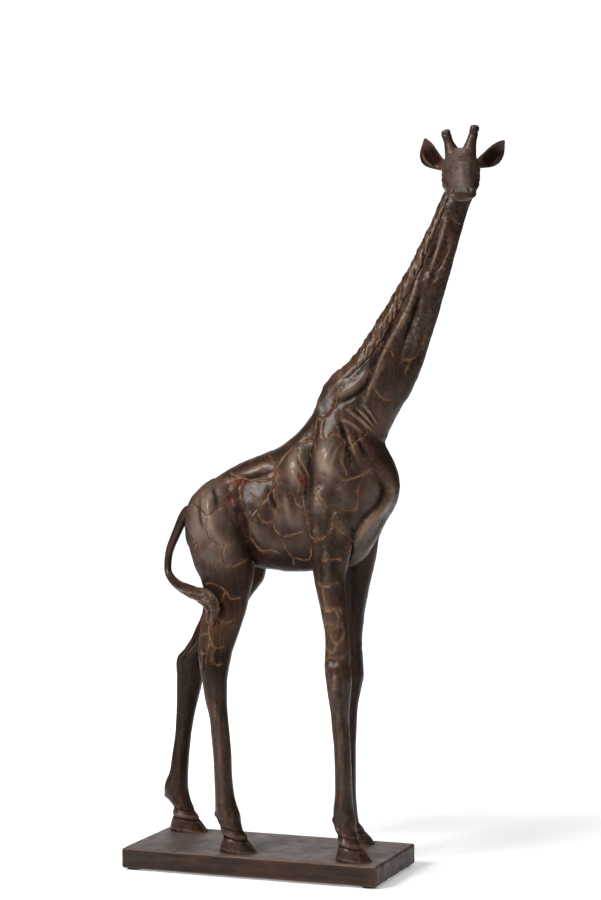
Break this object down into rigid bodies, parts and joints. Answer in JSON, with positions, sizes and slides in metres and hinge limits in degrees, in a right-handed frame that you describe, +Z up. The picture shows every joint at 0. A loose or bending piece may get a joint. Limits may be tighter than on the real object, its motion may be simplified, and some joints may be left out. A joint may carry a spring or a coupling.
{
  "type": "carved giraffe statue",
  "caption": "Dark-stained carved giraffe walking on a flat rectangular plinth, its head turned to its right, with incised patches, a raised mane and a curled tail.",
  "frame": {"origin": "centre of the plinth's underside; the rubber pads reach 2 mm below it", "axes": "+X the way the animal walks, +Y its left side, +Z up"},
  "size_m": [0.4338, 0.1455, 0.8509],
  "materials": {
    "carved_wood": "satin wax over dark brown stain",
    "plinth_wood": "satin wax over dark brown stain",
    "dowel_wood": "plain beech",
    "screw_steel": "zinc plated",
    "pad_rubber": "matt"
  },
  "bodies": {
    "root": {"plinth": "plinth_wood", "pad_front_left": "pad_rubber", "pad_front_right": "pad_rubber", "pad_rear_left": "pad_rubber", "pad_rear_right": "pad_rubber", "screw_front_left": "screw_steel", "screw_front_right": "screw_steel", "screw_hind_left": "screw_steel", "screw_hind_right": "screw_steel", "leg_front_left": "carved_wood", "leg_front_right": "carved_wood", "leg_hind_left": "carved_wood", "leg_hind_right": "carved_wood", "torso": "carved_wood", "tail": "carved_wood", "neck": "carved_wood", "head": "carved_wood", "ear_left": "carved_wood", "ear_right": "carved_wood", "ossicone_left": "carved_wood", "ossicone_right": "carved_wood", "dowel_front_left": "dowel_wood", "dowel_front_right": "dowel_wood", "dowel_hind_left": "dowel_wood", "dowel_hind_right": "dowel_wood", "neck_dowel_back": "dowel_wood", "neck_dowel_throat": "dowel_wood", "head_dowel": "dowel_wood"}
  },
  "joints": []
}
